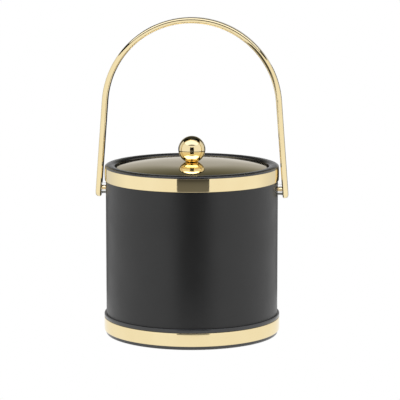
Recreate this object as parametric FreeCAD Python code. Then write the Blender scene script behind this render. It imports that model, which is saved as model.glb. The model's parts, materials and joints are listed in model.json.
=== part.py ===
import FreeCAD, Part
import math
import os

# Insulated ice bucket with a bail handle and a lift-off lid.
# Millimetres, +Z up. The origin is the centre of the base, on the surface that the bucket stands on.
# The handle's two pivots lie on a line along X.

os.makedirs("parts", exist_ok=True)

# Overall
body_radius = 92.0          # outside of the vinyl covering
body_height = 183.0         # from the table to the crown of the rim

# Wall layers, outside to inside
vinyl_thickness = 1.0
vinyl_seam = 0.3            # slit where the covering's two ends meet, at the back
shell_thickness = 1.8
bond_gap = 0.1              # glue line between layers that slide into each other
liner_thickness = 2.2
liner_draft = 1.0           # degrees, so that the liner leaves its mould
liner_corner = 9.0          # inside corner between the liner's wall and floor

# Base cup and its pad
pad_thickness = 1.6
pad_proud = 0.4             # how far the pad stands below the cup
pad_margin = 8.5            # from the pad's rim to the cup's outside
pad_clearance = 0.3
cup_floor = 2.4
cup_lip_overhang = 0.5      # lip under the lower band, proud of the covering
cup_lip_round = 1.0
cup_collar = 2.0            # upstand round the shell
bead_height = 4.1           # bead above the lower band
bead_overhang = 2.3
bead_round = 1.2
base_foam = 9.8             # insulation between the cup and the liner

# Bands
lower_band_bottom = 4.1
lower_band_height = 14.3
lower_band_thickness = 1.2
lower_band_roll = 1.1       # radius of its rolled edges
upper_band_height = 14.0
upper_band_thickness = 0.9
upper_band_roll = 0.8
band_bulge = 0.2            # how far a band's middle stands out from its edges

# Rim moulding
rim_width = 10.5
rim_overhang = 0.8
crown_height = 2.1
crown_to_band = 2.9         # from the crown's top down to the upper band
rim_shoulder = 7.0          # from the crown's top down to the shell's end
rim_wall = 2.0
rim_spigot = 8.0            # length that plugs into the shell
ledge_depth = 12.0          # from the crown's top down to the liner's seat
ledge_thickness = 2.0
flange_thickness = 2.0      # liner flange, which hangs on the ledge
mouth_step = 4.3            # from the rim's bore in to the liner's mouth

# Handle
pivot_drop = 26.7           # from the crown's top down to the pivots
bar_width = 14.0
bar_thickness = 6.0
bar_outer_corner = 3.0
bar_inner_corner = 1.4
arch_rise = 87.2            # from the pivots up to the centre of the arch
arch_inset = 2.0            # how much tighter the arch is inside than the body's radius
leg_gap = 4.8               # from the covering to the handle's leg, at the pivot
leg_tail = 9.3              # leg below the pivot

# Pivots
screw_radius = 2.0
screw_hole_gap = 0.2
screw_running_gap = 0.08    # radial, between the screw and the handle's bore
bore_wall = 2.0             # metal left beyond the handle's blind bores
bore_end_gap = 0.4
head_radius = 3.6
head_thickness = 2.4
slot_width = 0.8
slot_depth = 1.2
seat_rim = 0.8              # from the spacer's seat out to the side of the leg
spacer_end_gap = 0.3        # between the spacer's end and its seat
spacer_side_gap = 0.3
seat_margin = 0.05          # least depth of the seat
plate_half_width = 11.0
plate_half_height = 9.5
plate_thickness = 1.5
pocket_gap = 1.0            # room round the plate in the insulation

# Lid
lid_gap = 0.5               # between the lid and the rim's bore
lid_sheet = 0.8
dome_radius = 1000.0        # of the nearly flat middle
dome_middle = 35.0          # from the axis out to where the dome starts to fall
shoulder_radius = 300.0     # of the fall from the middle to the edge
dome_top_above_crown = 2.5
lid_edge_round = 3.0
lid_skirt_gap = 0.6         # from the skirt's edge down to the liner's flange
seal_thickness = 1.2
seal_inset = 0.4
pan_thickness = 1.6
pan_depth = 12.0            # plug below the liner's flange
plug_gap = 0.8
foam_gap = 0.2
foam_head_room = 4.0        # air between the lid's insulation and its cover

# Knob
knob_radius = 14.5
knob_flat_radius = 6.3
knob_screw_radius = 2.5
knob_screw_engagement = 10.0
knob_head_radius = 4.5
knob_head_thickness = 3.0
knob_washer_radius = 7.5
knob_washer_thickness = 1.0
thread_gap = 0.05

# Heights and radii that follow from the sizes above
vinyl_inner = body_radius - vinyl_thickness
shell_outer = vinyl_inner - bond_gap
shell_inner = shell_outer - shell_thickness
cup_lip_radius = body_radius + cup_lip_overhang
cup_floor_top = pad_thickness + cup_floor
collar_inner = shell_outer + bond_gap
collar_outer = collar_inner + cup_collar
lower_band_top = lower_band_bottom + lower_band_height
cup_top = lower_band_top + bead_height
band_top = body_height - crown_to_band
shell_top = body_height - rim_shoulder
rim_outer = body_radius + rim_overhang
rim_bore = rim_outer - rim_width
ledge_top = body_height - ledge_depth
ledge_bottom = ledge_top - ledge_thickness
flange_top = ledge_top + flange_thickness
mouth_radius = rim_bore - mouth_step
liner_floor_bottom = cup_floor_top + base_foam
liner_floor_top = liner_floor_bottom + liner_thickness
pivot_height = body_height - pivot_drop
seat_radius = bar_width / 2 - seat_rim
spacer_radius = seat_radius - spacer_side_gap
lid_radius = rim_bore - lid_gap
dome_top = body_height + dome_top_above_crown
dome_lean = math.asin(dome_middle / dome_radius)    # where the middle meets the shoulder
dome_centre = (0, dome_top - dome_radius)
shoulder_centre = (
    (dome_radius - shoulder_radius) * math.sin(dome_lean),
    dome_centre[1] + (dome_radius - shoulder_radius) * math.cos(dome_lean))
plug_bottom = flange_top - pan_depth
pan_flange_bottom = flange_top + seal_thickness
pan_flange_top = pan_flange_bottom + pan_thickness
plug_radius = mouth_radius - plug_gap
cover_inner = lid_radius - lid_sheet
sides = (("left", -1), ("right", 1))


def point(radius, height):
    return FreeCAD.Vector(radius, 0, height)


def bend(centre, radius, start, stop):
    """Middle and end of an arc about centre between two angles, in degrees from the radial direction."""
    angles = (math.radians((start + stop) / 2), math.radians(stop))
    return tuple((centre[0] + radius * math.cos(a), centre[1] + radius * math.sin(a)) for a in angles)


def outline(start, steps):
    """Closed outline in the XZ plane. A step is a corner, or an arc given by its middle and its end."""
    edges = []
    here = point(*start)
    for step in list(steps) + [start]:
        if isinstance(step[0], tuple):
            there = point(*step[1])
            edges.append(Part.Arc(here, point(*step[0]), there).toShape())
        else:
            there = point(*step)
            edges.append(Part.LineSegment(here, there).toShape())
        here = there
    return Part.Face(Part.Wire(edges))


def turned(start, *steps):
    """Solid turned about the bucket's axis from an outline of radii and heights."""
    return outline(start, steps).revolve(FreeCAD.Vector(0, 0, 0), FreeCAD.Vector(0, 0, 1), 360)


def tube(outer, inner, bottom, top):
    return turned((inner, bottom), (outer, bottom), (outer, top), (inner, top))


def rod_x(radius, start, stop, height):
    """Cylinder along X from one x to another."""
    return Part.makeCylinder(radius, stop - start, FreeCAD.Vector(start, 0, height), FreeCAD.Vector(1, 0, 0))


def to_side(shape, side):
    """The shape as modelled at +X, or its mirror image at -X."""
    if side > 0:
        return shape
    return shape.mirror(FreeCAD.Vector(0, 0, 0), FreeCAD.Vector(1, 0, 0))


def cut_both_sides(shape, tool):
    return shape.cut([to_side(tool, side) for name, side in sides])


def pivot_hole(reach):
    """Clearance hole for a pivot screw, from inside the wall out to the given x."""
    return rod_x(screw_radius + screw_hole_gap, body_radius / 2, reach, pivot_height)


# Base

def base_pad():
    pad_radius = cup_lip_radius - pad_margin
    return Part.makeCylinder(pad_radius, pad_thickness)


def base_cup():
    recess = cup_lip_radius - pad_margin + pad_clearance
    bottom = pad_proud
    shoulder = lower_band_bottom + lower_band_thickness
    bead_outer = body_radius + bead_overhang
    rebate = body_radius + bond_gap
    lip_centre = (cup_lip_radius - cup_lip_round, bottom + cup_lip_round)
    low_bead = (bead_outer - bead_round, lower_band_top + bead_round)
    top_bead = (bead_outer - bead_round, cup_top - bead_round)
    return turned(
        (0, pad_thickness),
        (recess, pad_thickness),
        (recess, bottom),
        (cup_lip_radius - cup_lip_round, bottom),
        bend(lip_centre, cup_lip_round, -90, 0),
        (cup_lip_radius, shoulder),
        (collar_outer, shoulder),
        (collar_outer, lower_band_top),
        (bead_outer - bead_round, lower_band_top),
        bend(low_bead, bead_round, -90, 0),
        (bead_outer, cup_top - bead_round),
        bend(top_bead, bead_round, 0, 90),
        (rebate, cup_top),
        (rebate, lower_band_top),
        (collar_inner, lower_band_top),
        (collar_inner, cup_floor_top),
        (0, cup_floor_top))


def base_foam_disc():
    return Part.makeCylinder(shell_inner - bond_gap, base_foam, FreeCAD.Vector(0, 0, cup_floor_top))


# Wall

def outer_shell():
    return cut_both_sides(tube(shell_outer, shell_inner, cup_floor_top, shell_top), pivot_hole(body_radius))


def vinyl_wrap():
    wrap = tube(body_radius, vinyl_inner, lower_band_top, shell_top)
    corner = FreeCAD.Vector(-vinyl_seam / 2, body_radius / 2, 0)
    slit = Part.makeBox(vinyl_seam, body_radius, shell_top, corner)
    return cut_both_sides(wrap.cut(slit), pivot_hole(body_radius + leg_gap))


def band(inner, thickness, roll, bottom, top, lip=0):
    """Metal band with rolled edges and a slightly bowed face. A lip may turn in under its lower edge."""
    edge = inner + thickness
    middle = (bottom + top) / 2
    steps = [
        (edge - roll, bottom),
        bend((edge - roll, bottom + roll), roll, -90, 0),
        ((edge + band_bulge, middle), (edge, top - roll)),
        bend((edge - roll, top - roll), roll, 0, 90),
        (inner, top)]
    if lip:
        steps += [(inner, bottom + thickness), (inner - lip, bottom + thickness)]
    return turned((inner - lip, bottom), *steps)


def lower_band():
    inner = collar_outer + bond_gap
    lip = inner - cup_lip_radius - bond_gap
    return band(inner, lower_band_thickness, lower_band_roll, lower_band_bottom, lower_band_top, lip)


def upper_band():
    inner = body_radius + bond_gap
    bottom = band_top - upper_band_height
    return band(inner, upper_band_thickness, upper_band_roll, bottom, band_top)


def top_rim():
    """Rim moulding: a rounded crown, a spigot inside the shell and a ledge that carries the liner."""
    spring = body_height - crown_height
    middle = rim_outer - rim_width / 2
    crown = Part.Ellipse(point(rim_outer, spring), point(middle, body_height), point(middle, spring))
    crown_edge = Part.ArcOfEllipse(crown, 0, math.pi).toShape()
    spigot_outer = shell_inner - bond_gap
    spigot_bottom = shell_top - rim_spigot
    well = rim_bore + rim_wall
    corners = [
        (rim_outer, spring), (rim_outer, band_top), (body_radius, band_top), (body_radius, shell_top),
        (spigot_outer, shell_top), (spigot_outer, spigot_bottom), (spigot_outer - rim_wall, spigot_bottom),
        (spigot_outer - rim_wall, shell_top), (well, shell_top), (well, ledge_bottom),
        (liner_outer(ledge_top) + bond_gap, ledge_bottom), (liner_outer(ledge_top) + bond_gap, ledge_top),
        (rim_bore, ledge_top), (rim_bore, spring)]
    edges = [crown_edge]
    for start, stop in zip(corners, corners[1:]):
        edges.append(Part.LineSegment(point(*start), point(*stop)).toShape())
    face = Part.Face(Part.Wire(Part.__sortEdges__(edges)))
    return face.revolve(FreeCAD.Vector(0, 0, 0), FreeCAD.Vector(0, 0, 1), 360)


def liner_inner(height):
    """Inside radius of the drafted liner at a height."""
    return mouth_radius - (flange_top - height) * math.tan(math.radians(liner_draft))


def liner_outer(height):
    return liner_inner(height) + liner_thickness


def inner_liner():
    """Tapered pot whose flange hangs on the rim's ledge."""
    inner_centre = (liner_inner(liner_floor_top) - liner_corner, liner_floor_top + liner_corner)
    outer_corner = liner_corner + liner_thickness
    lean = -liner_draft
    inner_side = bend(inner_centre, liner_corner, -90, lean)
    outer_side = bend(inner_centre, outer_corner, lean, -90)
    return turned(
        (0, liner_floor_bottom),
        (0, liner_floor_top),
        (inner_centre[0], liner_floor_top),
        inner_side,
        (mouth_radius, flange_top),
        (rim_bore - bond_gap, flange_top),
        (rim_bore - bond_gap, ledge_top),
        (liner_outer(ledge_top), ledge_top),
        (inner_centre[0] + outer_corner * math.cos(math.radians(lean)),
         inner_centre[1] + outer_corner * math.sin(math.radians(lean))),
        outer_side)


def foam_sleeve():
    """Insulation between the shell and the liner, with pockets for the pivot plates."""
    top = shell_top - rim_spigot
    outer = shell_inner - bond_gap
    sleeve = turned(
        (liner_outer(liner_floor_bottom) + bond_gap, liner_floor_bottom),
        (outer, liner_floor_bottom),
        (outer, top),
        (liner_outer(top) + bond_gap, top))
    half_width = plate_half_width + pocket_gap
    half_height = plate_half_height + pocket_gap
    depth = plate_thickness + head_thickness + pocket_gap
    corner = FreeCAD.Vector(outer - depth, -half_width, pivot_height - half_height)
    pocket = Part.makeBox(depth + outer, 2 * half_width, 2 * half_height, corner)
    return cut_both_sides(sleeve, pocket)


# Pivots

def leg_angle():
    """Splay of a leg in radians: it leaves the arch as a tangent and passes the pivot at leg_gap."""
    span = body_radius + leg_gap
    return math.acos(arch_radius() / math.hypot(span, arch_rise)) - math.atan2(arch_rise, span)


def arch_radius():
    """Inside radius of the arch."""
    return body_radius - arch_inset


def seat_x():
    """Floor of the round seat that is faced into the leg for the spacer, square to the pivot."""
    return body_radius + leg_gap + seat_radius * math.tan(leg_angle()) + seat_margin


def bore_end():
    """End of the blind bore, which stops short of the leg's outer face."""
    return body_radius + leg_gap + bar_thickness / math.cos(leg_angle()) - bore_wall


def pivot_plate():
    """Curved steel plate that spreads the screw's load over the inside of the shell."""
    outer = shell_inner - bond_gap
    height = pivot_height - plate_half_height
    ring = tube(outer, outer - plate_thickness, height, pivot_height + plate_half_height)
    corner = FreeCAD.Vector(0, -plate_half_width, height)
    window = Part.makeBox(body_radius, 2 * plate_half_width, 2 * plate_half_height, corner)
    return ring.common(window).cut(pivot_hole(body_radius))


def pivot_spacer():
    tube_wall = rod_x(spacer_radius, body_radius, seat_x() - spacer_end_gap, pivot_height)
    return tube_wall.cut(pivot_hole(seat_x()))


def pivot_screw():
    """Screw whose head bears on the plate and whose end runs in the handle's blind bore."""
    plate_inner = shell_inner - bond_gap - plate_thickness
    head_face = math.sqrt(plate_inner ** 2 - head_radius ** 2)
    head = rod_x(head_radius, head_face - head_thickness, head_face, pivot_height)
    shank = rod_x(screw_radius, head_face, bore_end() - bore_end_gap, pivot_height)
    corner = FreeCAD.Vector(head_face - head_thickness, -head_radius, pivot_height - slot_width / 2)
    slot = Part.makeBox(slot_depth, 2 * head_radius, slot_width, corner)
    return head.fuse(shank).removeSplitter().cut(slot)


# Handle

def bar_section():
    """The bar's section at the arch's springing: flat faces, well rounded outside and less so inside."""
    inside = arch_radius()
    outside = inside + bar_thickness
    half = bar_width / 2
    height = pivot_height + arch_rise

    def corner(r, y, radius, side):
        """Middle of a corner arc, whose centre is at r and y, on the inner or the outer side."""
        reach = radius * math.sqrt(0.5)
        return FreeCAD.Vector(r + side * reach, y + math.copysign(reach, y), height)

    def at(r, y):
        return FreeCAD.Vector(r, y, height)

    inner, outer = bar_inner_corner, bar_outer_corner
    edges = [
        Part.LineSegment(at(inside, inner - half), at(inside, half - inner)),
        Part.Arc(at(inside, half - inner), corner(inside + inner, half - inner, inner, -1), at(inside + inner, half)),
        Part.LineSegment(at(inside + inner, half), at(outside - outer, half)),
        Part.Arc(at(outside - outer, half), corner(outside - outer, half - outer, outer, 1),
                 at(outside, half - outer)),
        Part.LineSegment(at(outside, half - outer), at(outside, outer - half)),
        Part.Arc(at(outside, outer - half), corner(outside - outer, outer - half, outer, 1),
                 at(outside - outer, -half)),
        Part.LineSegment(at(outside - outer, -half), at(inside + inner, -half)),
        Part.Arc(at(inside + inner, -half), corner(inside + inner, inner - half, inner, -1),
                 at(inside, inner - half))]
    return Part.Face(Part.Wire([edge.toShape() for edge in edges]))


def handle_leg(section, angle):
    """Right leg with its round end, its faced seat and the blind bore for the screw."""
    outward = FreeCAD.Vector(math.cos(angle), 0, math.sin(angle))
    down = FreeCAD.Vector(math.sin(angle), 0, -math.cos(angle))
    pivot = FreeCAD.Vector(body_radius + leg_gap, 0, pivot_height)
    spring = FreeCAD.Vector(0, 0, pivot_height + arch_rise) + outward * arch_radius()
    straight = (pivot - spring).dot(down) + leg_tail - bar_width / 2
    leg = section.extrude(down * straight)
    end_middle = spring + down * straight
    reach = FreeCAD.Vector(bar_width, bar_width, bar_width)
    front = Part.makeBox(2 * bar_width, bar_width, 2 * bar_width, end_middle - reach)
    front_half = section.translated(down * straight).common(front).Faces[0]
    round_end = front_half.revolve(end_middle, outward, 180)
    seat = rod_x(seat_radius, body_radius, seat_x(), pivot_height)
    bore = rod_x(screw_radius + screw_running_gap, body_radius, bore_end(), pivot_height)
    return leg.fuse(round_end).cut([seat, bore])


def handle():
    """Bail: an arch and two legs that leave it as tangents."""
    angle = leg_angle()
    centre = FreeCAD.Vector(0, 0, pivot_height + arch_rise)
    back = FreeCAD.Vector(0, -1, 0)
    section = bar_section()
    section.rotate(centre, back, math.degrees(angle))
    arch = section.revolve(centre, back, 180 - 2 * math.degrees(angle))
    leg = handle_leg(section, angle)
    return arch.fuse([to_side(leg, side) for name, side in sides]).removeSplitter()


# Lid

def dome_join(drop=0.0):
    """Radius where the dome's middle meets its shoulder, on a surface that lies below the top by drop."""
    return (dome_radius - drop) * math.sin(dome_lean)


def dome_height(radius, drop=0.0):
    """Height of the lid's domed top at a radius, or of a surface that lies below it by drop."""
    if radius <= dome_join(drop):
        centre, curve = dome_centre, dome_radius - drop
    else:
        centre, curve = shoulder_centre, shoulder_radius - drop
    return centre[1] + math.sqrt(curve ** 2 - (radius - centre[0]) ** 2)


def dome_arc(start, stop, drop=0.0):
    """Outline step along the dome's middle or its shoulder, from one radius to another."""
    halfway = (start + stop) / 2
    return (halfway, dome_height(halfway, drop)), (stop, dome_height(stop, drop))


def dome_edge():
    """Centre of the lid's rounded edge, and the angle in degrees where the shoulder runs into it."""
    reach = lid_radius - lid_edge_round
    lean = math.degrees(math.asin((reach - shoulder_centre[0]) / (shoulder_radius - lid_edge_round)))
    return (reach, dome_height(reach, lid_edge_round)), 90 - lean


def lid_cover():
    """Domed sheet-metal cover with a rounded edge and a short skirt."""
    centre, meet = dome_edge()
    skirt_end = flange_top + lid_skirt_gap
    small = lid_edge_round - lid_sheet
    hole = knob_screw_radius + screw_hole_gap
    outer_meet = bend(centre, lid_edge_round, 0, meet)[1]
    inner_meet = bend(centre, small, 0, meet)[1]
    return turned(
        (hole, dome_height(hole)),
        dome_arc(hole, dome_join()),
        dome_arc(dome_join(), outer_meet[0]),
        bend(centre, lid_edge_round, meet, 0),
        (lid_radius, skirt_end),
        (cover_inner, skirt_end),
        (cover_inner, centre[1]),
        bend(centre, small, 0, meet),
        dome_arc(inner_meet[0], dome_join(lid_sheet), lid_sheet),
        dome_arc(dome_join(lid_sheet), hole, lid_sheet))


def lid_pan():
    """Plastic pan under the cover: its flange sits in the skirt and its plug enters the liner's mouth."""
    inner = plug_radius - pan_thickness
    return turned(
        (0, plug_bottom),
        (plug_radius - pan_thickness, plug_bottom),
        bend((plug_radius - pan_thickness, plug_bottom + pan_thickness), pan_thickness, -90, 0),
        (plug_radius, pan_flange_bottom),
        (cover_inner - bond_gap, pan_flange_bottom),
        (cover_inner - bond_gap, pan_flange_top),
        (inner, pan_flange_top),
        (inner, plug_bottom + pan_thickness),
        (0, plug_bottom + pan_thickness))


def lid_seal():
    """Soft ring under the pan's flange, which rests on the liner."""
    inner = mouth_radius + seal_inset
    return tube(cover_inner - seal_inset, inner, flange_top, pan_flange_bottom)


def lid_foam():
    bottom = plug_bottom + pan_thickness
    outer = plug_radius - pan_thickness - foam_gap
    top = dome_height(outer) - foam_head_room
    return tube(outer, knob_washer_radius + pocket_gap, bottom, top)


def washer_top():
    """The washer lies against the underside of the dome, which is lower away from the middle."""
    return dome_height(knob_washer_radius, lid_sheet)


def knob():
    """Ball with a small flat that stands on the dome, tapped for its screw."""
    rise = math.sqrt(knob_radius ** 2 - knob_flat_radius ** 2)
    centre = FreeCAD.Vector(0, 0, dome_top + rise)
    ball = Part.makeSphere(knob_radius, centre)
    below = Part.makeBox(2 * knob_radius, 2 * knob_radius, 2 * knob_radius,
                         FreeCAD.Vector(-knob_radius, -knob_radius, dome_top - 2 * knob_radius))
    tapped = Part.makeCylinder(knob_screw_radius + thread_gap, knob_screw_engagement + bore_end_gap,
                               FreeCAD.Vector(0, 0, dome_top))
    return ball.cut([below, tapped])


def knob_washer():
    bottom = washer_top() - knob_washer_thickness
    return tube(knob_washer_radius, knob_screw_radius + screw_hole_gap, bottom, washer_top())


def knob_screw():
    head_top = washer_top() - knob_washer_thickness
    head = Part.makeCylinder(knob_head_radius, knob_head_thickness,
                             FreeCAD.Vector(0, 0, head_top - knob_head_thickness))
    length = dome_top + knob_screw_engagement - head_top
    shank = Part.makeCylinder(knob_screw_radius, length, FreeCAD.Vector(0, 0, head_top))
    return head.fuse(shank).removeSplitter()


pieces = {
    "base_pad": base_pad(),
    "base_cup": base_cup(),
    "base_foam": base_foam_disc(),
    "outer_shell": outer_shell(),
    "vinyl_wrap": vinyl_wrap(),
    "lower_band": lower_band(),
    "upper_band": upper_band(),
    "top_rim": top_rim(),
    "inner_liner": inner_liner(),
    "foam_sleeve": foam_sleeve(),
    "handle": handle(),
    "lid_cover": lid_cover(),
    "lid_pan": lid_pan(),
    "lid_seal": lid_seal(),
    "lid_foam": lid_foam(),
    "knob": knob(),
    "knob_washer": knob_washer(),
    "knob_screw": knob_screw(),
}
for side_name, side in sides:
    pieces["pivot_plate_" + side_name] = to_side(pivot_plate(), side)
    pieces["pivot_spacer_" + side_name] = to_side(pivot_spacer(), side)
    pieces["pivot_screw_" + side_name] = to_side(pivot_screw(), side)

for node, shape in pieces.items():
    if not shape.isValid() or shape.Volume <= 0 or len(shape.Solids) != 1:
        raise ValueError(node + " is not one sound solid")
    shape.exportStep("parts/" + node + ".step")
    print(node, round(shape.Volume / 1000, 2), "cm3")
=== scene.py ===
import json
import math

import bpy
from mathutils import Matrix, Vector


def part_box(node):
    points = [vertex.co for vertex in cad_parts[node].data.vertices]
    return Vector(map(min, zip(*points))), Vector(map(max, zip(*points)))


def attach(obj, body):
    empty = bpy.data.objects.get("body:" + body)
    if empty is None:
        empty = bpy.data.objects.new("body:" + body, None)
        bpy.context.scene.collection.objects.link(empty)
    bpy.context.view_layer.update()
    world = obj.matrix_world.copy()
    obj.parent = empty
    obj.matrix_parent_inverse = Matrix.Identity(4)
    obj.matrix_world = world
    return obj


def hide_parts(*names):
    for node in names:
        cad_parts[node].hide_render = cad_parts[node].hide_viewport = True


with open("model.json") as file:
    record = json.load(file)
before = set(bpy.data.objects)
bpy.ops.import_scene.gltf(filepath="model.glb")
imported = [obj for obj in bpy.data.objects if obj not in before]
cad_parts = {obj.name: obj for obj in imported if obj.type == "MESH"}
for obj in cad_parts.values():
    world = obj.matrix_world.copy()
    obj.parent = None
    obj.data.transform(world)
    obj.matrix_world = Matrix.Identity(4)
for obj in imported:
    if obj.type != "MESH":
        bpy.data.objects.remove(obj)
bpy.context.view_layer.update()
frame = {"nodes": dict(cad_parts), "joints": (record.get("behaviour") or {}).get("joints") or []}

# Insulated ice bucket: vinyl wall between two brass bands, black mouldings, a spun brass lid with a ball
# knob, and a brass bail handle on two pivots. Metres, +Z up, the bucket's axis on Z, the pivots on a line
# along X.

MM = 0.001

# Sizes of the visible metalwork and covering that the frame's boxes don't give
BAND_ROLL = {"lower_band": 1.1 * MM, "upper_band": 0.8 * MM}
BAND_TOP_ROLL = {"lower_band": 0.6 * MM, "upper_band": 0.1 * MM}
BAND_SHEET = {"lower_band": 1.2 * MM, "upper_band": 0.9 * MM}
BAND_LIP = {"lower_band": 0.5 * MM, "upper_band": 0.0}
BAND_BOW = 0.2 * MM             # how far a band's middle stands out from its edges
BAND_JOINT = 0.12 * MM          # hairline where a band's two ends meet, at the back
VINYL_SHEET = 1.0 * MM
VINYL_JOINT = 0.3 * MM          # where the covering's two ends meet, at the back
VINYL_PRESS = 0.25 * MM         # how far the covering is pressed in beside that joint
# From and to, in steps round from that joint, and the share pressed in
VINYL_PRESSED = ((0.0, 0.6, 1.0), (0.6, 1.6, 0.25))
VINYL_EDGE = 0.3 * MM
BAR_THICKNESS = 6.0 * MM
BAR_OUTER_CORNER = 3.0 * MM
BAR_INNER_CORNER = 1.4 * MM
ARCH_INSIDE = 90.0 * MM
LEG_GAP = 4.8 * MM
LEG_TAIL = 9.3 * MM
SEAT_DEPTH = 0.05 * MM
SEAT_RIM = 0.8 * MM
BORE_RADIUS = 2.08 * MM
BORE_WALL = 2.0 * MM
SPACER_BORE = 2.2 * MM
SPACER_EASE = 0.35 * MM
LID_SHEET = 0.8 * MM
LID_EDGE_ROUND = 3.0 * MM
LID_HOLE = 2.7 * MM
DOME_RADIUS = 1.0               # of the lid's nearly flat middle
DOME_MIDDLE = 35.0 * MM         # how far out the middle goes
SHOULDER_RADIUS = 0.3           # of the fall from the middle to the edge
KNOB_FLAT = 6.3 * MM
KNOB_BORE = 2.55 * MM
KNOB_BORE_DEPTH = 10.4 * MM
PAD_EASE = 0.5 * MM
PAD_SINK = 0.1 * MM
PAD_RINGS = 4

# Places taken from the frame
WALL_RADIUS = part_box("vinyl_wrap")[1].x
PIVOT_HEIGHT = frame["joints"][0]["pos_m"][2]
ARCH_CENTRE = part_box("handle")[1].z - ARCH_INSIDE - BAR_THICKNESS

# Nodes that keep their own mesh, by the finish they take
CARRIED = {
    "black_plastic": ("base_cup", "top_rim"),
    "screw_brass": ("pivot_screw_left", "pivot_screw_right"),
    "white_plastic": ("inner_liner", "lid_pan"),
    "grey_plastic": ("outer_shell",),
    "zinc_steel": ("pivot_plate_left", "pivot_plate_right", "knob_screw", "knob_washer"),
    "white_foam": ("base_foam", "foam_sleeve", "lid_foam"),
    "soft_seal": ("lid_seal",),
}

# Studio
CAMERA_AZIMUTH = math.radians(4.0)
CAMERA_ELEVATION = math.radians(8.98)
CAMERA_DISTANCE = 2.309
CAMERA_LENS = 194.04
CAMERA_SENSOR = 36.0
CAMERA_REACH = 50.0
CAMERA_AIM = Vector((0.0087, 0.0006, 0.1439))
FLOOR_SIZE = 30.0
FLOOR_NEAR = 1.0
FLOOR_NEAR_EDGE = (0.235, 0.26)     # how far out the near brightness ends
FLOOR_BEYOND = 0.17             # past the light wall
FLOOR_FALL = (0.6, 3.0)         # how far out that falls to the far brightness
FLOOR_FAR = 0.07
FLOOR_BEHIND = 0.3              # share of that left behind the bucket
WALL_CARD_RADIUS = 0.218
WALL_CARD_TOP = 0.372
WALL_CARD_REACH = math.radians(130)
WALL_CARD_STEPS = 360
WALL_FRONT = 1.03
WALL_BACK = 0.72
WALL_FADE = (-0.25, 0.7)        # from the first to the second, front to back, in shares of the wall's radius
SLOT_HALF_WIDTH = 0.063
SLOT_TOP = 0.295
SLOT_TURN = math.radians(1.7)   # how far the slot lies to the right of the camera
OVERHEAD_WIDTH = 1.9
OVERHEAD_DEPTH = 0.83
OVERHEAD_FORWARD = 0.304
OVERHEAD_HEIGHT = 1.0
OVERHEAD_GLOW = 1.35
OVERHEAD_TWICE = 3.2            # how much brighter it looks in a reflection of a reflection
OVERHEAD_DEPTHS = (2.0, 3.0)    # ray depth at which it is met in a first and in a second reflection
OVERHEAD_TINT = (1.0, 1.04, 1.16)   # slightly cool
BACK_GLOW_SPREAD = (math.radians(42), math.radians(24))     # from its faint edge in to its full width
# Elevation in degrees, brightness and warmth of the glow behind the bucket
BACK_GLOW = ((0, 0.72, 1.0), (4, 0.62, 1.0), (8, 0.45, 1.0), (11, 0.41, 1.0), (14, 0.31, 0.95),
             (18, 0.19, 0.88), (22, 0.13, 0.80), (27, 0.075, 0.78), (35, 0.045, 0.8), (90, 0.03, 0.9))
ROOM_DARK = 0.03

# Finishes
BRASS = (0.89, 0.75, 0.45)
SCRATCH_DEPTH = -4e-7
MOULDING_SHEEN = 0.8
SMEAR_CUT = (0.35, 0.68)        # the part of the noise's range that smears take up
HAIRLINE_TURNS = (0.5, 2.1)
HAIRLINE_STRETCH = 40
HAIRLINE_CUT = (0.70, 0.74)
GRAIN_WANDER = 400.0            # waves per metre in the pebbles' outlines
GRAIN_SHIFT = 0.0007            # how far those move the outlines
PEBBLE_RISE = 0.35              # shares of a pebble's size
# width of the painted shade in the creases, in shares of a pebble's size
CREASE_SHADE_WIDTH = 0.12
PORES = 5000.0                  # per metre
PORE_SHARE = 0.2
DUST_SPECKS = 700.0             # per metre
DUST_CUT = (0.45, 0.75)
DUST_LIES = 0.5                 # how far up a face has to look before dust lies on it
FELT_TURNS = (0.3, 1.4, 2.5)
FELT_STRETCH = 8

# Fineness of the meshes
ROUND_STEPS = 256               # round the bucket
BAR_ARCH_STEPS = 256            # along the handle's arch
BAR_CORNER_STEPS = 12           # round the bar's smaller corner, and twice as many round its larger one
BAR_END_STEPS = 40
SMALL_ROUND_STEPS = 48          # round a pivot
ROLL_STEPS = 10                 # round a band's rolled edge
BOW_STEPS = 12                  # up a band's bow
VINYL_ROWS = 24
VINYL_EDGE_STEPS = 3
SPACER_EASE_STEPS = 4
DOME_STEPS = 20
SHOULDER_STEPS = 30
LID_EDGE_STEPS = 12
SKIRT_STEPS = 3
KNOB_SEGMENTS = 128
KNOB_RINGS = 96
PAD_EASE_STEPS = 4
MERGE = 0.002 * MM
NEAR = 0.01 * MM                # for picking vertices by their place
SMOOTH_ANGLE = math.radians(32)
SHARP_ANGLE = math.radians(60)  # an edge over this is eased


# Bench work

def deselect():
    if bpy.context.object and bpy.context.object.mode != "OBJECT":
        bpy.ops.object.mode_set(mode="OBJECT")
    bpy.ops.object.select_all(action="DESELECT")


def arc(centre, radius, start, stop, steps):
    """Points on an arc in a radius-height plane, from one angle to another in degrees."""
    turns = [math.radians(start + (stop - start) * i / steps) for i in range(steps + 1)]
    return [(centre[0] + radius * math.cos(a), centre[1] + radius * math.sin(a)) for a in turns]


def draw_line(name, points):
    """A new object, in edit mode, whose mesh is one line of edges through the points."""
    deselect()
    bpy.ops.mesh.primitive_plane_add(size=MM, location=(0, 0, 0))
    bpy.context.object.name = name
    bpy.ops.object.mode_set(mode="EDIT")
    bpy.ops.mesh.select_all(action="SELECT")
    bpy.ops.mesh.merge(type="CENTER")
    bpy.ops.transform.translate(value=points[0])
    for here, there in zip(points, points[1:]):
        bpy.ops.mesh.extrude_vertices_move(TRANSFORM_OT_translate={"value": Vector(there) - Vector(here)})
    bpy.ops.mesh.select_all(action="SELECT")
    return bpy.context.object


def close_up():
    """Merges what meets and turns every face outwards."""
    bpy.ops.mesh.select_all(action="SELECT")
    bpy.ops.mesh.remove_doubles(threshold=MERGE)
    bpy.ops.mesh.normals_make_consistent(inside=False)


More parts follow.
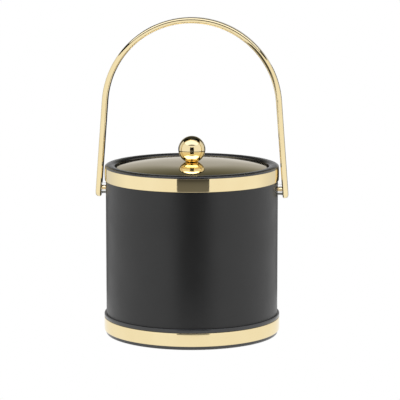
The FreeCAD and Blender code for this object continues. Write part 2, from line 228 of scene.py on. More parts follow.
def turn_up(name, outline, joint=0.0):
    """Turns a radius-height outline about the bucket's axis. A joint leaves that gap open at the back."""
    gap = joint / outline[0][0]
    start = math.pi / 2 - gap / 2
    points = [(r * math.cos(start), r * math.sin(start), z) for r, z in outline]
    piece = draw_line(name, points)
    bpy.ops.mesh.spin(steps=ROUND_STEPS, angle=math.tau - gap, center=(0, 0, 0), axis=(0, 0, 1))
    close_up()
    if joint and outline[0] == outline[-1]:
        bpy.ops.mesh.select_all(action="SELECT")
        bpy.ops.mesh.fill_holes(sides=0)
        close_up()
    bpy.ops.object.mode_set(mode="OBJECT")
    return piece


def with_modifier(piece, kind, **settings):
    """Adds a modifier with its settings and applies it."""
    deselect()
    piece.select_set(True)
    bpy.context.view_layer.objects.active = piece
    modifier = piece.modifiers.new(kind.lower(), kind)
    for setting, value in settings.items():
        setattr(modifier, setting, value)
    bpy.ops.object.modifier_apply(modifier=modifier.name)


def smooth(piece):
    """Smooth shading that keeps true edges, weighted so that flats stay flat beside small rounds."""
    deselect()
    piece.select_set(True)
    bpy.context.view_layer.objects.active = piece
    bpy.ops.object.shade_smooth_by_angle(angle=SMOOTH_ANGLE)
    with_modifier(piece, "WEIGHTED_NORMAL", keep_sharp=True)


def ease_edges(piece, width, steps):
    """Rounds a piece's sharp edges."""
    with_modifier(piece, "BEVEL", width=width, segments=steps, limit_method="ANGLE", angle_limit=SHARP_ANGLE)


def select_where(piece, kind, test):
    """In edit mode, selects only the vertices or faces whose middle passes the test."""
    bpy.ops.mesh.select_mode(type={"verts": "VERT", "faces": "FACE"}[kind])
    bpy.ops.mesh.select_all(action="DESELECT")
    bpy.ops.object.mode_set(mode="OBJECT")
    mesh = piece.data
    if kind == "verts":
        for vertex in mesh.vertices:
            vertex.select = bool(test(vertex.co))
    else:
        for face in mesh.polygons:
            face.select = bool(test(face.center))
    bpy.ops.object.mode_set(mode="EDIT")


def fit(piece, body, slot, material, *nodes):
    """Puts a finished piece on its body, in the place of its nodes, with its finish."""
    piece.data.materials.clear()
    piece.data.materials.append(material)
    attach(piece, body)
    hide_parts(*nodes)


# Wall

def metal_band(node):
    """Bowed strip with rolled edges, bent round until its two ends meet at the back."""
    low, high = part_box(node)
    roll, top_roll = BAND_ROLL[node], BAND_TOP_ROLL[node]
    sheet, lip = BAND_SHEET[node], BAND_LIP[node]
    edge = high.x - BAND_BOW
    inner = edge - sheet
    bottom, top = low.z + roll, high.z - top_roll
    half = (top - bottom) / 2
    bow_radius = (half ** 2 + BAND_BOW ** 2) / (2 * BAND_BOW)
    reach = math.degrees(math.asin(half / bow_radius))
    middle = (high.x - bow_radius, (bottom + top) / 2)
    outline = [(inner - lip, low.z)]
    outline += arc((edge - roll, bottom), roll, -90, 0, ROLL_STEPS)[:-1]
    outline += arc(middle, bow_radius, -reach, reach, BOW_STEPS)
    outline += arc((edge - top_roll, top), top_roll, 0, 90, ROLL_STEPS)[1:]
    outline += [(inner, high.z)]
    if lip:
        outline += [(inner, low.z + sheet), (inner - lip, low.z + sheet)]
    piece = turn_up("brass_" + node, outline + outline[:1], BAND_JOINT)
    smooth(piece)
    return piece


def covering():
    """Vinyl sheet wrapped round the shell. Its two ends meet at the back and are pressed down there."""
    low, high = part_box("vinyl_wrap")
    outline = [(high.x, low.z + (high.z - low.z) * row / VINYL_ROWS) for row in range(VINYL_ROWS + 1)]
    piece = turn_up("vinyl_covering", outline, VINYL_JOINT)
    bpy.ops.object.mode_set(mode="EDIT")
    width = math.tau * high.x / ROUND_STEPS
    for near, far, share in VINYL_PRESSED:
        select_where(piece, "verts", lambda co: co.y > 0 and near * width <= abs(co.x) < far * width)
        bpy.ops.transform.translate(value=(0, -VINYL_PRESS * share, 0))
    bpy.ops.object.mode_set(mode="OBJECT")
    with_modifier(piece, "SOLIDIFY", thickness=VINYL_SHEET, offset=-1.0, use_even_offset=True)
    ease_edges(piece, VINYL_EDGE, VINYL_EDGE_STEPS)
    smooth(piece)
    return piece


# Handle

def leg_angle():
    """Splay of a leg: it leaves the arch as a tangent and passes the pivot at LEG_GAP."""
    span = WALL_RADIUS + LEG_GAP
    rise = ARCH_CENTRE - PIVOT_HEIGHT
    return math.acos(ARCH_INSIDE / math.hypot(span, rise)) - math.atan2(rise, span)


def seat_radius():
    """Of the round seat that is faced into each leg for its spacer."""
    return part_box("handle")[1].y - SEAT_RIM


def leg_seat_x():
    """How far out that seat lies."""
    return WALL_RADIUS + LEG_GAP + seat_radius() * math.tan(leg_angle()) + SEAT_DEPTH


def bar_section(half_width):
    """Points round the bar's section: how far out from its inner face, and how far across."""
    inner, outer = BAR_INNER_CORNER, BAR_OUTER_CORNER
    half = [(0.0, 0.0), (0.0, inner / 2 - half_width / 2)]
    half += arc((inner, inner - half_width), inner, 180, 270, BAR_CORNER_STEPS)
    half += arc((BAR_THICKNESS - outer, outer - half_width), outer, 270, 360, 2 * BAR_CORNER_STEPS)
    half += [(BAR_THICKNESS, outer / 2 - half_width / 2), (BAR_THICKNESS, 0.0)]
    return half + [(r, -y) for r, y in reversed(half[:-1])]


def bail():
    """Bar with well rounded outer edges, bent to an arch on two straight splayed legs with round ends."""
    half_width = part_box("handle")[1].y
    angle = leg_angle()
    hub = Vector((0, 0, ARCH_CENTRE))
    out = Vector((math.cos(angle), 0, math.sin(angle)))
    points = [hub + out * (ARCH_INSIDE + r) + Vector((0, y, 0)) for r, y in bar_section(half_width)]
    piece = draw_line("bail_handle", points)
    bpy.ops.mesh.remove_doubles(threshold=MERGE)
    bpy.ops.mesh.select_all(action="SELECT")
    bpy.ops.mesh.spin(steps=BAR_ARCH_STEPS, angle=math.pi - 2 * angle, center=hub, axis=(0, 1, 0))
    pivot = Vector((WALL_RADIUS + LEG_GAP, 0, PIVOT_HEIGHT))
    for side in (1, -1):
        along = Vector((math.sin(angle) * side, 0, -math.cos(angle)))
        outward = Vector((out.x * side, 0, out.z))
        spring = hub + outward * ARCH_INSIDE
        straight = (Vector((pivot.x * side, 0, pivot.z)) - spring).dot(along) + LEG_TAIL - half_width
        end = spring + along * straight
        select_where(piece, "verts", lambda co: co.x * side > 0 and abs((co - hub).dot(along)) < NEAR)
        bpy.ops.mesh.extrude_edges_move(TRANSFORM_OT_translate={"value": along * straight})
        select_where(piece, "verts",
                     lambda co: co.x * side > 0 and (co - end).dot(along) > -NEAR and co.y < NEAR)
        bpy.ops.mesh.spin(steps=BAR_END_STEPS, angle=math.pi, center=end, axis=-outward * side)
    close_up()
    for side in (1, -1):
        face_seat(piece, side)
    smooth(piece)
    return piece


def face_seat(piece, side):
    """Faces the spacer's round seat into a leg and bores it for the screw, short of its outer face."""
    bore_end = WALL_RADIUS + LEG_GAP + BAR_THICKNESS / math.cos(leg_angle()) - BORE_WALL
    for radius, stop in ((seat_radius(), leg_seat_x()), (BORE_RADIUS, bore_end)):
        deselect()
        middle = ((WALL_RADIUS + stop) / 2 * side, 0, PIVOT_HEIGHT)
        bpy.ops.mesh.primitive_cylinder_add(vertices=SMALL_ROUND_STEPS, radius=radius,
                                            depth=stop - WALL_RADIUS, location=middle,
                                            rotation=(0, math.pi / 2, 0))
        cutter = bpy.context.object
        with_modifier(piece, "BOOLEAN", object=cutter, operation="DIFFERENCE", solver="EXACT")
        bpy.data.objects.remove(cutter)


# Pivots

def spacer(side_name, side):
    """Clear turned tube with eased edges, between the wall and the leg."""
    low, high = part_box("pivot_spacer_" + side_name)
    radius = high.y
    length = high.x - low.x
    outline = [(0.0, SPACER_BORE), (length, SPACER_BORE)]
    outline += arc((length - SPACER_EASE, radius - SPACER_EASE), SPACER_EASE, 0, 90, SPACER_EASE_STEPS)
    outline += arc((SPACER_EASE, radius - SPACER_EASE), SPACER_EASE, 90, 180, SPACER_EASE_STEPS)
    outline += outline[:1]
    points = [(side * (WALL_RADIUS + x), 0, PIVOT_HEIGHT + r) for x, r in outline]
    piece = draw_line("clear_spacer_" + side_name, points)
    bpy.ops.mesh.spin(steps=SMALL_ROUND_STEPS, angle=math.tau, center=(0, 0, PIVOT_HEIGHT), axis=(1, 0, 0))
    close_up()
    smooth(piece)
    return piece


# Lid

def spun_lid():
    """Domed sheet with a rounded edge and a short skirt, spun from one disc and pierced for the screw."""
    low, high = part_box("lid_cover")
    centre = (0.0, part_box("knob")[0].z - DOME_RADIUS)
    first = math.degrees(math.asin(LID_HOLE / DOME_RADIUS))
    turn = math.asin(DOME_MIDDLE / DOME_RADIUS)
    shift = DOME_RADIUS - SHOULDER_RADIUS
    shoulder = (shift * math.sin(turn), centre[1] + shift * math.cos(turn))
    reach = high.x - LID_EDGE_ROUND
    lean = math.asin((reach - shoulder[0]) / (SHOULDER_RADIUS - LID_EDGE_ROUND))
    edge_height = shoulder[1] + (SHOULDER_RADIUS - LID_EDGE_ROUND) * math.cos(lean)
    turn, lean = math.degrees(turn), math.degrees(lean)
    outline = arc(centre, DOME_RADIUS, 90 - first, 90 - turn, DOME_STEPS)[:-1]
    outline += arc(shoulder, SHOULDER_RADIUS, 90 - turn, 90 - lean, SHOULDER_STEPS)[:-1]
    outline += arc((reach, edge_height), LID_EDGE_ROUND, 90 - lean, 0, LID_EDGE_STEPS)
    outline += [(high.x, edge_height + (low.z - edge_height) * (step + 1) / SKIRT_STEPS)
                for step in range(SKIRT_STEPS)]
    piece = turn_up("spun_lid", outline)
    with_modifier(piece, "SOLIDIFY", thickness=LID_SHEET, offset=-1.0, use_even_offset=True)
    smooth(piece)
    return piece


def ball_knob():
    """Turned ball with a flat foot, drilled up from it for the screw."""
    low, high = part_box("knob")
    radius = high.x
    deselect()
    bpy.ops.mesh.primitive_uv_sphere_add(segments=KNOB_SEGMENTS, ring_count=KNOB_RINGS, radius=radius,
                                         location=(0, 0, high.z - radius))
    piece = bpy.context.object
    piece.name = "ball_knob"
    bpy.ops.object.transform_apply(location=True)
    bpy.ops.object.mode_set(mode="EDIT")
    bpy.ops.mesh.select_all(action="SELECT")
    bpy.ops.mesh.bisect(plane_co=(0, 0, low.z), plane_no=(0, 0, 1), use_fill=True, clear_inner=True)
    select_where(piece, "faces", lambda co: abs(co.z - low.z) < NEAR)
    bpy.ops.mesh.inset(thickness=KNOB_FLAT - KNOB_BORE)
    bpy.ops.mesh.extrude_region_move(TRANSFORM_OT_translate={"value": (0, 0, KNOB_BORE_DEPTH)})
    close_up()
    smooth(piece)
    return piece


# Base

def foot_pad():
    """Felt disc with eased edges and a slightly sunk middle."""
    low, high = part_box("base_pad")
    thickness = high.z - low.z
    deselect()
    bpy.ops.mesh.primitive_cylinder_add(vertices=ROUND_STEPS // 2, radius=high.x, depth=thickness,
                                        location=(0, 0, (low.z + high.z) / 2))
    piece = bpy.context.object
    piece.name = "felt_foot_pad"
    bpy.ops.object.transform_apply(location=True)
    bpy.ops.object.mode_set(mode="EDIT")
    for _ in range(PAD_RINGS):
        select_where(piece, "faces", lambda co: co.xy.length < NEAR)
        bpy.ops.mesh.inset(thickness=high.x / (PAD_RINGS + 2))
    select_where(piece, "verts", lambda co: co.z < low.z + NEAR and co.xy.length < high.x / 2)
    bpy.ops.transform.translate(value=(0, 0, PAD_SINK))
    bpy.ops.object.mode_set(mode="OBJECT")
    ease_edges(piece, PAD_EASE, PAD_EASE_STEPS)
    smooth(piece)
    return piece


# Finishes

def add(tree, kind, inputs=(), **settings):
    """A node with these properties. A socket among its inputs is joined on; anything else is its value."""
    node = tree.nodes.new(kind)
    for name, value in settings.items():
        setattr(node, name, value)
    for name, value in dict(inputs).items():
        if isinstance(value, bpy.types.NodeSocket):
            tree.links.new(value, node.inputs[name])
        else:
            node.inputs[name].default_value = value
    return node


def effect(name, inputs, outputs):
    """An empty node group with number inputs at their defaults and number outputs."""
    tree = bpy.data.node_groups.new(name, "ShaderNodeTree")
    for label, value in inputs.items():
        tree.interface.new_socket(label, in_out="INPUT", socket_type="NodeSocketFloat").default_value = value
    for label in outputs:
        tree.interface.new_socket(label, in_out="OUTPUT", socket_type="NodeSocketFloat")
    return tree, add(tree, "NodeGroupInput").outputs


def give(tree, **results):
    """Joins the group's results to its outputs."""
    add(tree, "NodeGroupOutput", results)


def on_piece(tree):
    """Where a point is on its piece, in metres."""
    return add(tree, "ShaderNodeTexCoord").outputs["Object"]


def maths(tree, operation, *values, **settings):
    """What the operation makes of the values, each a number or a socket."""
    return add(tree, "ShaderNodeMath", dict(enumerate(values)), operation=operation, **settings).outputs[0]


def noise(tree, vector, scale, detail, output="Fac"):
    """Cloudy noise over a place, as a number or as a colour."""
    inputs = {"Vector": vector, "Scale": scale, "Detail": detail}
    return add(tree, "ShaderNodeTexNoise", inputs).outputs[output]


def between(tree, value, low, high, to_low, to_high):
    """A value's place between low and high, as a number from to_low to to_high."""
    return add(tree, "ShaderNodeMapRange", {"Value": value, "From Min": low, "From Max": high,
                                            "To Min": to_low, "To Max": to_high}).outputs["Result"]


def turning_marks():
    """Fine rings left by polishing on the lathe, about the bucket's axis."""
    tree, given = effect("turning marks", {"Per Metre": 2500.0}, ("Height",))
    where = on_piece(tree)
    flat = add(tree, "ShaderNodeVectorMath", {0: where, 1: (1, 1, 0)}, operation="MULTIPLY")
    radius = add(tree, "ShaderNodeVectorMath", {0: flat.outputs[0]}, operation="LENGTH").outputs["Value"]
    height = add(tree, "ShaderNodeSeparateXYZ", {"Vector": where}).outputs["Z"]
    rings = add(tree, "ShaderNodeCombineXYZ", {"X": radius, "Z": height}).outputs[0]
    give(tree, Height=noise(tree, rings, given["Per Metre"], 3.0))
    return tree


def handling():
    """Faint smears and finger marks, as a number that wanders from Low to High."""
    tree, given = effect("handling", {"Per Metre": 40.0, "Low": 0.1, "High": 0.2}, ("Value",))
    where = on_piece(tree)
    cloud = noise(tree, where, given["Per Metre"], 5.0)
    give(tree, Value=between(tree, cloud, *SMEAR_CUT, given["Low"], given["High"]))
    return tree


def hairlines():
    """Sparse fine scratches running two ways."""
    tree, given = effect("hairlines", {"Per Metre": 60.0}, ("Mask",))
    where = on_piece(tree)
    marks = []
    for turn in HAIRLINE_TURNS:
        lay = add(tree, "ShaderNodeMapping", {"Vector": where, "Rotation": (turn, turn / 2, turn),
                                              "Scale": (1, HAIRLINE_STRETCH, 1)}).outputs[0]
        line = noise(tree, lay, given["Per Metre"], 1.0)
        marks.append(between(tree, line, *HAIRLINE_CUT, 0.0, 1.0))
    give(tree, Mask=maths(tree, "MAXIMUM", *marks))
    return tree


def pebbled_grain():
    """Embossed leather grain: rounded pebbles with creases between them, and fine pores. The creases also
    give a mask for painted shade.
    """
    tree, given = effect("pebbled grain", {"Per Metre": 1100.0}, ("Height", "Crease"))
    where = on_piece(tree)
    wander = noise(tree, where, GRAIN_WANDER, 2.0, "Color")
    shift = add(tree, "ShaderNodeVectorMath", {0: wander, 1: (GRAIN_SHIFT,) * 3}, operation="MULTIPLY")
    moved = add(tree, "ShaderNodeVectorMath", {0: where, 1: shift.outputs[0]}, operation="ADD").outputs[0]
    cells = add(tree, "ShaderNodeTexVoronoi", {"Vector": moved, "Scale": given["Per Metre"]},
                feature="DISTANCE_TO_EDGE").outputs["Distance"]
    pebble = between(tree, cells, 0.0, PEBBLE_RISE, 0.0, 1.0)
    fine = maths(tree, "MULTIPLY", noise(tree, where, PORES, 2.0), PORE_SHARE)
    give(tree, Height=maths(tree, "ADD", pebble, fine),
         Crease=between(tree, cells, 0.0, CREASE_SHADE_WIDTH, 1.0, 0.0))
    return tree


def moulded_skin():
    """The slight unevenness of a moulded surface."""
    tree, given = effect("moulded skin", {"Per Metre": 900.0}, ("Height",))
    where = on_piece(tree)
    give(tree, Height=noise(tree, where, given["Per Metre"], 4.0))
    return tree


def settled_dust():
    """Where dust lies: thinly, and only on what faces up."""
    tree, given = effect("settled dust", {"Amount": 0.1}, ("Mask",))
    geometry = add(tree, "ShaderNodeNewGeometry").outputs
    up = add(tree, "ShaderNodeSeparateXYZ", {"Vector": geometry["Normal"]}).outputs["Z"]
    where = on_piece(tree)
    specks = between(tree, noise(tree, where, DUST_SPECKS, 6.0), *DUST_CUT, 0.0, 1.0)
    lying = between(tree, up, DUST_LIES, 1.0, 0.0, given["Amount"])
    give(tree, Mask=maths(tree, "MULTIPLY", specks, lying))
    return tree


EFFECTS = {make.__name__: make() for make in
           (turning_marks, handling, hairlines, pebbled_grain, moulded_skin, settled_dust)}


def place(tree, name, **values):
    """An effect placed in a material with its own values."""
    node = add(tree, "ShaderNodeGroup", node_tree=EFFECTS[name])
    for label, value in values.items():
        node.inputs[label.replace("_", " ").title()].default_value = value
    return node.outputs


def smears(tree, per_metre, low=0.0, high=1.0):
    """Handling marks as a number from low to high."""
    return place(tree, "handling", per_metre=per_metre, low=low, high=high)["Value"]


def begin(name, **constants):
    """A new material, and its tree and shader. The constants are set on the shader's own sockets."""
    made = bpy.data.materials.new(name)
    made.use_nodes = True
    shader = made.node_tree.nodes["Principled BSDF"]
    for label, value in constants.items():
        shader.inputs[label.replace("_", " ")].default_value = value
    return made, made.node_tree, shader


def tint(tree, shader, share, one, other):
    """Colours the shader from one colour to the other by a share that varies over the surface."""
    mix = add(tree, "ShaderNodeMix", {"Factor": share, "A": (*one, 1), "B": (*other, 1)}, data_type="RGBA")
    tree.links.new(mix.outputs["Result"], shader.inputs["Base Color"])


def roughen(tree, shader, value):
    """Joins a number that varies over the surface to the shader's roughness."""
    tree.links.new(value, shader.inputs["Roughness"])


def relief(tree, shader, height, depth, under=None):
    """Raises the surface by a height from 0 to 1, in a depth in metres."""
    inputs = {"Height": height, "Distance": depth, "Strength": 1.0}
    if under:
        inputs["Normal"] = under
    bump = add(tree, "ShaderNodeBump", inputs).outputs["Normal"]
    tree.links.new(bump, shader.inputs["Normal"])
    return bump


def brass(name, scratches, clouding, worn_colour, smear, scratched):
    """Polished brass with its scratches and clouding per metre, its smears, and how dull a scratch is."""
    made, tree, shader = begin(name, Metallic=1.0)
    worn = place(tree, "hairlines", per_metre=scratches)["Mask"]
    tint(tree, shader, smears(tree, clouding), BRASS, worn_colour)
    roughen(tree, shader, maths(tree, "MULTIPLY_ADD", worn, scratched, smears(tree, *smear)))
    return made, tree, shader, worn


def spun_brass():
    made, tree, shader, worn = brass("polished spun brass", scratches=60.0, clouding=25.0, scratched=0.06,
                                     worn_colour=(0.86, 0.71, 0.41), smear=(60.0, 0.035, 0.075))
    rings = relief(tree, shader, place(tree, "turning_marks", per_metre=1800.0)["Height"], 6e-7)
    relief(tree, shader, worn, SCRATCH_DEPTH, rings)
    return made


def drawn_brass():
    made, tree, shader, worn = brass("polished drawn brass", scratches=90.0, clouding=30.0, scratched=0.08,
                                     worn_colour=(0.85, 0.70, 0.40), smear=(80.0, 0.04, 0.10))
    relief(tree, shader, worn, SCRATCH_DEPTH)
    return made


def screw_brass():
    made, tree, shader = begin("turned screw brass", Metallic=1.0)
    tint(tree, shader, smears(tree, 400.0), (0.74, 0.55, 0.27), (0.62, 0.44, 0.20))
    roughen(tree, shader, smears(tree, 900.0, 0.18, 0.32))
    relief(tree, shader, place(tree, "turning_marks", per_metre=6000.0)["Height"], 2e-6)
    return made


def vinyl():
    made, tree, shader = begin("black leather-grain vinyl")
    grain = place(tree, "pebbled_grain", per_metre=1100.0)
    # The creases are painted darker than the pebbles: painted shade in the hollows.
    tint(tree, shader, grain["Crease"], (0.010, 0.010, 0.010), (0.005, 0.005, 0.005))
    roughen(tree, shader, smears(tree, 30.0, 0.36, 0.44))
    relief(tree, shader, grain["Height"], 3e-5)
    return made


def moulding(name, one, other, rough, dust, uneven):
    """Moulded plastic between two near colours, with its own gloss, dust and unevenness."""
    made, tree, shader = begin(name, Specular_IOR_Level=MOULDING_SHEEN)
    lying = place(tree, "settled_dust", amount=dust)["Mask"]
    cloud = smears(tree, 35.0, 0.0, 0.35)
    tint(tree, shader, maths(tree, "ADD", lying, cloud, use_clamp=True), one, other)
    roughen(tree, shader, maths(tree, "MULTIPLY_ADD", lying, 0.5, smears(tree, 70.0, *rough)))
    relief(tree, shader, place(tree, "moulded_skin", per_metre=900.0)["Height"], uneven)
    return made


def acrylic():
    made, tree, shader = begin("clear acrylic", Transmission_Weight=1.0, IOR=1.49)
    tint(tree, shader, smears(tree, 200.0), (0.99, 0.99, 0.99), (0.96, 0.97, 0.97))
    roughen(tree, shader, smears(tree, 500.0, 0.0, 0.03))
    return made


def plated_steel():
    made, tree, shader = begin("zinc-plated steel", Metallic=1.0)
    where = on_piece(tree)
    crystals = add(tree, "ShaderNodeTexVoronoi", {"Vector": where, "Scale": 600.0}).outputs["Color"]
    spangle = add(tree, "ShaderNodeSeparateColor", {"Color": crystals}).outputs[0]
    tint(tree, shader, spangle, (0.64, 0.65, 0.66), (0.55, 0.56, 0.58))
    roughen(tree, shader, smears(tree, 300.0, 0.28, 0.42))
    relief(tree, shader, place(tree, "moulded_skin", per_metre=3000.0)["Height"], 3e-6)
    return made


def bead_foam():
    made, tree, shader = begin("white bead foam")
    where = on_piece(tree)
    beads = add(tree, "ShaderNodeTexVoronoi", {"Vector": where, "Scale": 350.0}).outputs["Distance"]
    # Each bead is painted darker towards its edge: painted shade in the seams between beads. The same mask
    # sinks the seams by bump.
    seam_dip_and_shade = between(tree, beads, 0.35, 0.75, 0.0, 1.0)
    tint(tree, shader, seam_dip_and_shade, (0.90, 0.90, 0.88), (0.72, 0.72, 0.70))
    roughen(tree, shader, smears(tree, 100.0, 0.75, 0.9))
    relief(tree, shader, seam_dip_and_shade, -2.5e-4)
    return made


def felt():
    made, tree, shader = begin("black felt", Sheen_Weight=0.35, Sheen_Roughness=0.5)
    where = on_piece(tree)
    hairs = []
    for turn in FELT_TURNS:
        lay = add(tree, "ShaderNodeMapping", {"Vector": where, "Rotation": (0, 0, turn),
                                              "Scale": (1, FELT_STRETCH, 1)}).outputs[0]
        hairs.append(noise(tree, lay, 900.0, 3.0))
    mat = maths(tree, "MAXIMUM", maths(tree, "MAXIMUM", *hairs[:2]), hairs[2])
    tint(tree, shader, mat, (0.010, 0.010, 0.010), (0.050, 0.050, 0.052))
    roughen(tree, shader, between(tree, mat, 0.4, 0.8, 0.85, 1.0))
    relief(tree, shader, mat, 2e-4)
    return made


def finishes():
    """Every finish by its slot's name."""
    return {
        "black_vinyl": vinyl(),
        "black_plastic": moulding("black moulding", (0.010, 0.010, 0.011), (0.040, 0.040, 0.040),
                                  (0.14, 0.24), 0.10, 4e-6),
        "polished_brass": spun_brass(),
        "screw_brass": screw_brass(),
        "clear_acrylic": acrylic(),
        "white_plastic": moulding("white liner moulding", (0.84, 0.83, 0.79), (0.74, 0.72, 0.67),
                                  (0.22, 0.36), 0.05, 5e-6),
        "grey_plastic": moulding("grey shell moulding", (0.33, 0.33, 0.33), (0.26, 0.26, 0.26),
                                 (0.45, 0.6), 0.05, 1e-5),
        "zinc_steel": plated_steel(),
        "white_foam": bead_foam(),
        "black_felt": felt(),
        "soft_seal": moulding("soft seal", (0.035, 0.035, 0.035), (0.055, 0.055, 0.055),
                              (0.55, 0.72), 0.2, 8e-6),
    }


# Studio

def studio_camera():
    turn, lift = CAMERA_AZIMUTH, CAMERA_ELEVATION
    back = Vector((math.sin(turn) * math.cos(lift), -math.cos(turn) * math.cos(lift), math.sin(lift)))
    camera = bpy.data.objects.new("camera", bpy.data.cameras.new("camera"))
    bpy.context.scene.collection.objects.link(camera)
    camera.location = CAMERA_AIM + back * CAMERA_DISTANCE
    camera.rotation_euler = (-back).to_track_quat("-Z", "Y").to_euler()
    camera.data.sensor_width = CAMERA_SENSOR
    camera.data.lens = CAMERA_LENS
    camera.data.clip_end = CAMERA_REACH
    bpy.context.scene.camera = camera


def glowing(name):
    """An emission-only material for the floor and the light cards."""
    made = bpy.data.materials.new(name)
    made.use_nodes = True
    made.node_tree.nodes.clear()
    return made, made.node_tree


def shine(tree, strength, output="ShaderNodeOutputMaterial"):
    """White light of a strength that may vary, joined to the tree's output."""
    glow = add(tree, "ShaderNodeEmission", {"Color": (1, 1, 1, 1), "Strength": strength}).outputs[0]
    add(tree, output, {"Surface": glow})


def pale_floor():
    """A white floor, lit so evenly that it holds no shadow. Polished metal sees it dimmer further out."""
    deselect()
    bpy.ops.mesh.primitive_plane_add(size=FLOOR_SIZE, location=(0, 0, 0))
    floor = bpy.context.object
    floor.name = "floor"
    made, tree = glowing("pale floor")
    where = on_piece(tree)
    away = add(tree, "ShaderNodeVectorMath", {0: where}, operation="LENGTH").outputs["Value"]
    near = between(tree, away, *FLOOR_NEAR_EDGE, FLOOR_NEAR, 0.0)
    far = between(tree, away, *FLOOR_FALL, FLOOR_BEYOND, FLOOR_FAR)
    along = add(tree, "ShaderNodeSeparateXYZ", {"Vector": where}).outputs["Y"]
    shade = between(tree, along, WALL_CARD_RADIUS, 2 * WALL_CARD_RADIUS, 1.0, FLOOR_BEHIND)
    dim = maths(tree, "MULTIPLY", maths(tree, "MAXIMUM", far, near), shade)
    path = add(tree, "ShaderNodeLightPath").outputs
    seen = maths(tree, "MAXIMUM", path["Is Camera Ray"], path["Is Transmission Ray"])
    shine(tree, between(tree, seen, 0.0, 1.0, dim, 1.0))
    floor.data.materials.append(made)


def only_reflected(card):
    """A card that polished metal sees and the camera doesn't, and that throws no shadow."""
    card.visible_camera = False
    card.visible_shadow = False


def light_wall():
    """White wall round the bucket, open behind it and in a slot towards the camera."""
    deselect()
    bpy.ops.mesh.primitive_cylinder_add(vertices=WALL_CARD_STEPS, radius=WALL_CARD_RADIUS,
                                        depth=WALL_CARD_TOP, end_fill_type="NOTHING",
                                        location=(0, 0, WALL_CARD_TOP / 2))
    wall = bpy.context.object
    wall.name = "light_wall"
    bpy.ops.object.transform_apply(location=True)
    bpy.ops.object.mode_set(mode="EDIT")
    bpy.ops.mesh.select_all(action="SELECT")
    bpy.ops.mesh.bisect(plane_co=(0, 0, SLOT_TOP), plane_no=(0, 0, 1))
    front = Matrix.Rotation(CAMERA_AZIMUTH + SLOT_TURN, 3, "Z")

    def open_place(co):
        here = front.inverted() @ co
        turn = abs(math.atan2(here.x, -here.y))
        slot = here.y < 0 and abs(here.x) < SLOT_HALF_WIDTH and co.z < SLOT_TOP
        return slot or turn > WALL_CARD_REACH

    select_where(wall, "faces", open_place)
    bpy.ops.mesh.delete(type="FACE")
    bpy.ops.object.mode_set(mode="OBJECT")
    made, tree = glowing("light wall")
    where = on_piece(tree)
    turned = add(tree, "ShaderNodeMapping", {"Vector": where, "Rotation": (0, 0, -CAMERA_AZIMUTH)}).outputs[0]
    part = add(tree, "ShaderNodeSeparateXYZ", {"Vector": turned}).outputs
    fade = [share * WALL_CARD_RADIUS for share in WALL_FADE]
    shine(tree, between(tree, part["Y"], *fade, WALL_FRONT, WALL_BACK))
    wall.data.materials.append(made)
    only_reflected(wall)


def overhead_light():
    """Soft box above and a little in front of the bucket."""
    front = Matrix.Rotation(CAMERA_AZIMUTH, 3, "Z")
    lamp = bpy.data.lights.new("overhead soft box", "AREA")
    lamp.shape = "RECTANGLE"
    lamp.size = OVERHEAD_WIDTH
    lamp.size_y = OVERHEAD_DEPTH
    lamp.color = OVERHEAD_TINT
    lamp.energy = OVERHEAD_GLOW * math.pi * OVERHEAD_WIDTH * OVERHEAD_DEPTH
    lamp.use_nodes = True
    tree = lamp.node_tree
    tree.nodes.clear()
    bounces = add(tree, "ShaderNodeLightPath").outputs["Ray Depth"]
    shine(tree, between(tree, bounces, *OVERHEAD_DEPTHS, 1.0, OVERHEAD_TWICE), "ShaderNodeOutputLight")
    box = bpy.data.objects.new("overhead_soft_box", lamp)
    bpy.context.scene.collection.objects.link(box)
    box.location = front @ Vector((0, -OVERHEAD_FORWARD, OVERHEAD_HEIGHT))
    box.rotation_euler = (0, 0, CAMERA_AZIMUTH)


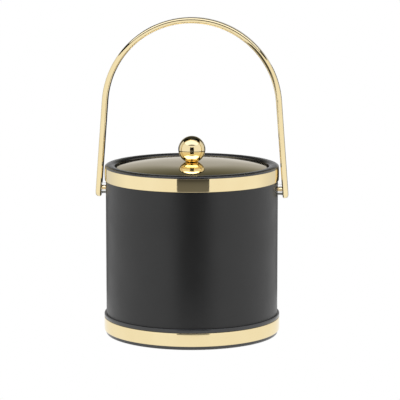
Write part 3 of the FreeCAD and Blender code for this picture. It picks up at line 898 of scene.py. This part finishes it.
def room():
    """Dark surroundings, with a glow low down behind the bucket."""
    world = bpy.data.worlds.new("studio")
    bpy.context.scene.world = world
    world.use_nodes = True
    tree = world.node_tree
    tree.nodes.clear()
    where = add(tree, "ShaderNodeTexCoord").outputs["Generated"]
    turned = add(tree, "ShaderNodeMapping", {"Vector": where, "Rotation": (0, 0, -CAMERA_AZIMUTH)}).outputs[0]
    part = add(tree, "ShaderNodeSeparateXYZ", {"Vector": turned}).outputs
    level = add(tree, "ShaderNodeCombineXYZ", {"X": part["X"], "Y": part["Y"]}).outputs[0]
    facing = add(tree, "ShaderNodeVectorMath", {0: level}, operation="NORMALIZE").outputs[0]
    behind = add(tree, "ShaderNodeSeparateXYZ", {"Vector": facing}).outputs["Y"]
    edge, full = [math.cos(spread) for spread in BACK_GLOW_SPREAD]
    share = between(tree, behind, edge, full, 0.0, 1.0)
    ramp = add(tree, "ShaderNodeValToRGB", {"Fac": part["Z"]})
    stops = ramp.color_ramp.elements
    for degrees, glow, warmth in BACK_GLOW:
        height = math.sin(math.radians(degrees))
        stop = {0: stops[0], 90: stops[len(stops) - 1]}.get(degrees) or stops.new(height)
        stop.position = height
        stop.color = (glow, glow, glow * warmth, 1)
    strength = between(tree, share, 0.0, 1.0, ROOM_DARK, 1.0)
    back = add(tree, "ShaderNodeBackground", {"Color": ramp.outputs["Color"], "Strength": strength})
    add(tree, "ShaderNodeOutputWorld", {"Surface": back.outputs[0]})


# Assembly

finish = finishes()
handle_brass = drawn_brass()
for slot, nodes in CARRIED.items():
    for node in nodes:
        carried = frame["nodes"][node]
        carried.data.materials.clear()
        carried.data.materials.append(finish[slot])

fit(covering(), "bucket", "black_vinyl", finish["black_vinyl"], "vinyl_wrap")
for band in ("lower_band", "upper_band"):
    fit(metal_band(band), "bucket", "polished_brass", finish["polished_brass"], band)
fit(foot_pad(), "bucket", "black_felt", finish["black_felt"], "base_pad")
for side_name, side in (("left", -1), ("right", 1)):
    fit(spacer(side_name, side), "bucket", "clear_acrylic", finish["clear_acrylic"],
        "pivot_spacer_" + side_name)
fit(bail(), "bail", "polished_brass", handle_brass, "handle")
fit(spun_lid(), "lid", "polished_brass", finish["polished_brass"], "lid_cover")
fit(ball_knob(), "lid", "polished_brass", finish["polished_brass"], "knob")

studio_camera()
pale_floor()
light_wall()
overhead_light()
room()
bpy.context.scene.view_settings.view_transform = "Standard"
